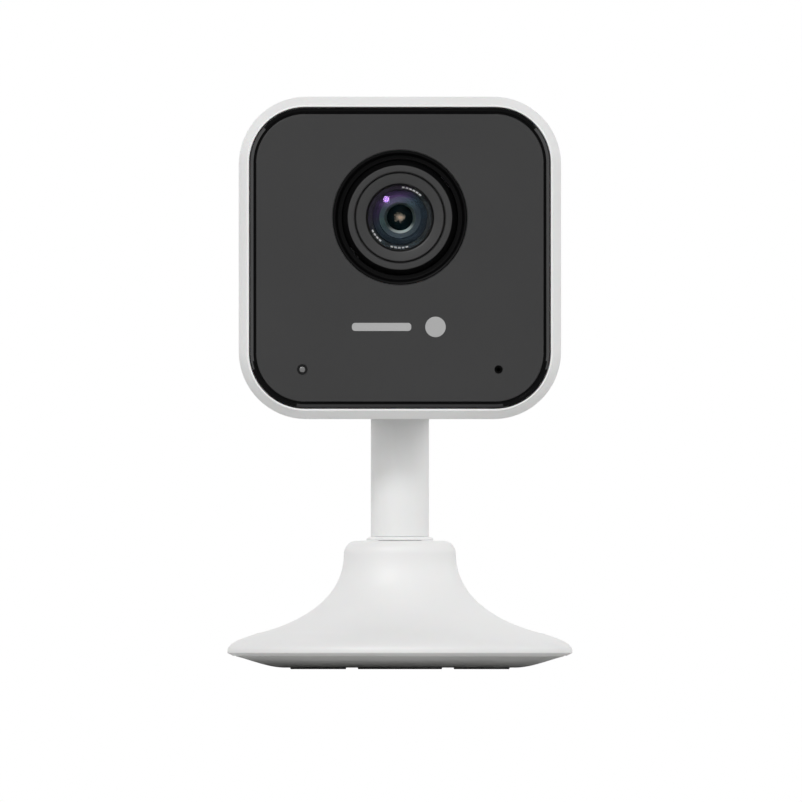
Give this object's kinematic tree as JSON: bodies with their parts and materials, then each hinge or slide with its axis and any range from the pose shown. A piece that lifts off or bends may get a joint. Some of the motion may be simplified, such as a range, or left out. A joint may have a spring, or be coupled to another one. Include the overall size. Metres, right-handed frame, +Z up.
{
  "type": "security camera",
  "caption": "Small indoor security camera: rounded square head with a dark front and round lens, on a tilting stem that turns on a flared round base.",
  "frame": {"origin": "centre of the face that the base stands on, on the stem's axis", "axes": "+Z up along the stem, -Y to the front where the lens looks, +X to the right of someone facing the lens"},
  "size_m": [0.064, 0.064, 0.1062],
  "materials": {
    "white_plastic": "satin white moulded plastic",
    "panel_plastic": "dark smoked plastic with a satin face",
    "black_plastic": "matte black",
    "grey_plastic": "dark grey moulded plastic",
    "plate_plastic": "fine matt light grey",
    "lens_glass": "coated optical glass",
    "filter_glass": "thin dark frame with tinted windows",
    "clear_plastic": "milky light guide",
    "circuit_board": "green solder mask",
    "chip": "moulded chip package",
    "diode": "clear domed diodes",
    "steel": "plated steel",
    "screw_steel": "zinc-plated screws",
    "aluminium": "extruded, plain",
    "copper": "enamelled copper",
    "lever_metal": "small moulded magnet lever",
    "rubber": "soft black rubber",
    "tape": "foam tape"
  },
  "bodies": {
    "base": {"base_shell": "white_plastic", "base_plate": "plate_plastic", "ballast_plate": "steel", "foot_pads": "rubber", "base_screws": "screw_steel", "swivel_bush": "grey_plastic"},
    "stem": {"stem_tube": "white_plastic", "stem_collar": "white_plastic", "hinge_knuckle": "white_plastic", "swivel_shaft": "steel", "swivel_washer": "steel", "swivel_nut": "steel"},
    "head": {"front_frame": "white_plastic", "rear_shell": "white_plastic", "front_panel": "panel_plastic", "lens_hood": "black_plastic", "lens_holder": "black_plastic", "aperture_stop": "black_plastic", "speaker": "black_plastic", "lens_barrel": "grey_plastic", "lens_retainer": "grey_plastic", "filter_housing": "grey_plastic", "reset_switch": "grey_plastic", "front_lens": "lens_glass", "rear_lens": "lens_glass", "light_pipe": "clear_plastic", "status_led": "clear_plastic", "main_board": "circuit_board", "ir_board": "circuit_board", "indicator_board": "circuit_board", "port_board": "circuit_board", "image_sensor": "chip", "processor": "chip", "ir_leds": "diode", "hinge_bracket": "steel", "hinge_pin": "steel", "hinge_nut": "steel", "friction_washers": "steel", "shield_can": "steel", "usb_socket": "steel", "card_socket": "steel", "microphone": "steel", "casing_screws": "screw_steel", "board_screws": "screw_steel", "holder_screws": "screw_steel", "bracket_screws": "screw_steel", "heat_spreader": "aluminium", "filter_coil": "copper", "wifi_antenna": "copper", "mic_boot": "rubber", "speaker_gasket": "rubber", "panel_adhesive": "tape", "thermal_pad": "tape"},
    "reset_button": {"reset_button": "white_plastic"},
    "filter_lever": {"filter_lever": "lever_metal"},
    "filter_slider": {"filter_slider": "filter_glass"}
  },
  "joints": [
    {"name": "base_swivel", "type": "hinge", "parent": "base", "child": "stem", "pos_m": [0, 0, 0.024], "axis": [0, 0, 1], "continuous": true},
    {"name": "head_tilt", "type": "hinge", "parent": "stem", "child": "head", "pos_m": [0, 0, 0.054], "axis": [1, 0, 0], "range_deg": [-90, 30]},
    {"name": "reset_press", "type": "slide", "parent": "head", "child": "reset_button", "axis": [0, -1, 0], "range_m": [0, 0.0005], "stiffness_N_per_m": 400},
    {"name": "filter_swing", "type": "hinge", "parent": "head", "child": "filter_lever", "pos_m": [0, -0.004, 0.0708], "axis": [0, -1, 0], "range_deg": [0, 50]},
    {"name": "filter_shift", "type": "slide", "parent": "head", "child": "filter_slider", "axis": [-1, 0, 0], "range_m": [0, 0.00592]}
  ],
  "couplings": [
    {"joint": "filter_swing", "follows": "filter_shift", "rad_per_m": 147.4}
  ]
}
